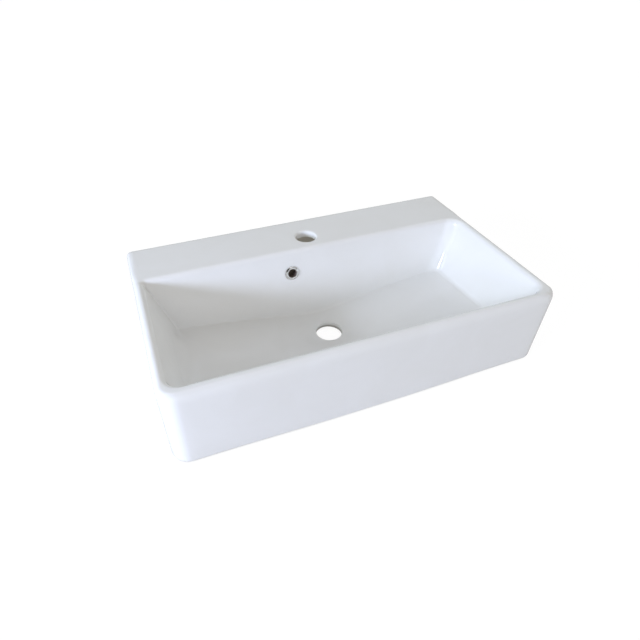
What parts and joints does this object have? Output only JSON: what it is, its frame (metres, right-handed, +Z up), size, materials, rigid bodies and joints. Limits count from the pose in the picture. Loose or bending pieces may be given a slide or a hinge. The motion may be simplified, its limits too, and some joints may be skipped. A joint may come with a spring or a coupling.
{
  "type": "washbasin",
  "caption": "Rectangular ceramic washbasin with a tap deck, a sloping bowl, a waste outlet and a chrome-ringed overflow.",
  "frame": {"origin": "middle of the base, at the level the basin stands on", "axes": "+X to the right along the width, +Y towards the back face and the wall, +Z up"},
  "size_m": [0.6, 0.35, 0.137],
  "materials": {
    "glazed_china": "glossy white glaze over vitreous china",
    "ring_chrome": "bright chrome plating",
    "sleeve_plastic": "dark moulded plastic",
    "washer_rubber": "soft black rubber"
  },
  "bodies": {
    "root": {"basin_body": "glazed_china", "overflow_ring": "ring_chrome", "overflow_sleeve": "sleeve_plastic", "overflow_washer": "washer_rubber"}
  },
  "joints": []
}
